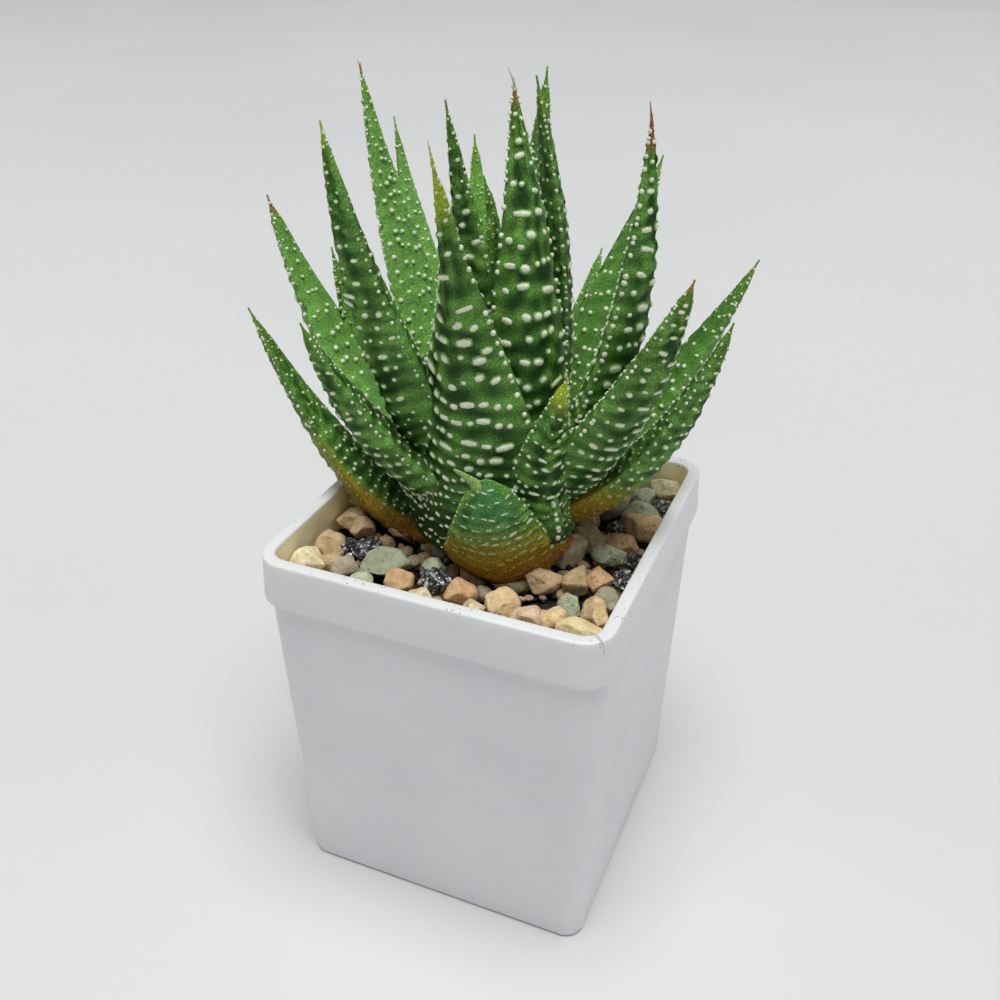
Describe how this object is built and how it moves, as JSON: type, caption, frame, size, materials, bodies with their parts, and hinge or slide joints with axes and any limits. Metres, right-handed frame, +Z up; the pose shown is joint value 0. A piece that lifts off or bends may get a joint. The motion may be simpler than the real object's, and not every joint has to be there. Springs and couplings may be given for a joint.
{
  "type": "potted haworthia",
  "caption": "Small haworthia succulent: a rosette of pointed dark green leaves with rows of white warts, in a square white plastic pot topped with gravel.",
  "frame": {"origin": "middle of the pot's underside, on the plane that the pot stands on", "axes": "+Z up through the pot; +X and -Y are the normals of the two pot walls seen in front; the plant leans a little further out than the pot on all sides"},
  "size_m": [0.0737, 0.0721, 0.127],
  "materials": {
    "pot": "semi-gloss white",
    "soil": "rough, near black soil",
    "stem": "dry yellow-brown plant stem",
    "gravel": "rough beige and tan stone",
    "green_stone": "rough grey-green stone",
    "black_stone": "dark stone with small bright grains",
    "leaf": "satin, finely grained dark green leaf skin with white warts"
  },
  "bodies": {
    "root": {"pot": "pot", "soil": "soil", "stem": "stem", "gravel_tan": "gravel", "stone_green_01": "green_stone", "stone_green_02": "green_stone", "stone_green_03": "green_stone", "stone_green_04": "green_stone", "stone_green_05": "green_stone", "stone_green_06": "green_stone", "stone_green_07": "green_stone", "stone_green_08": "green_stone", "stone_green_09": "green_stone", "stone_green_10": "green_stone", "stone_black_01": "black_stone", "stone_black_02": "black_stone", "stone_black_03": "black_stone", "stone_black_04": "black_stone", "stone_black_05": "black_stone", "stone_black_06": "black_stone", "stone_black_07": "black_stone", "stone_black_08": "black_stone", "stone_black_09": "black_stone", "stone_black_10": "black_stone", "leaf_outer_01": "leaf", "leaf_outer_02": "leaf", "leaf_outer_03": "leaf", "leaf_outer_04": "leaf", "leaf_outer_05": "leaf", "leaf_outer_06": "leaf", "leaf_outer_07": "leaf", "leaf_outer_08": "leaf", "leaf_outer_09": "leaf", "leaf_middle_01": "leaf", "leaf_middle_02": "leaf", "leaf_middle_03": "leaf", "leaf_middle_04": "leaf", "leaf_middle_05": "leaf", "leaf_middle_06": "leaf", "leaf_middle_07": "leaf", "leaf_middle_08": "leaf", "leaf_middle_09": "leaf", "leaf_middle_10": "leaf", "leaf_inner_01": "leaf", "leaf_inner_02": "leaf", "leaf_inner_03": "leaf", "leaf_inner_04": "leaf", "leaf_inner_05": "leaf", "leaf_inner_06": "leaf", "leaf_inner_07": "leaf", "leaf_inner_08": "leaf"}
  },
  "joints": []
}
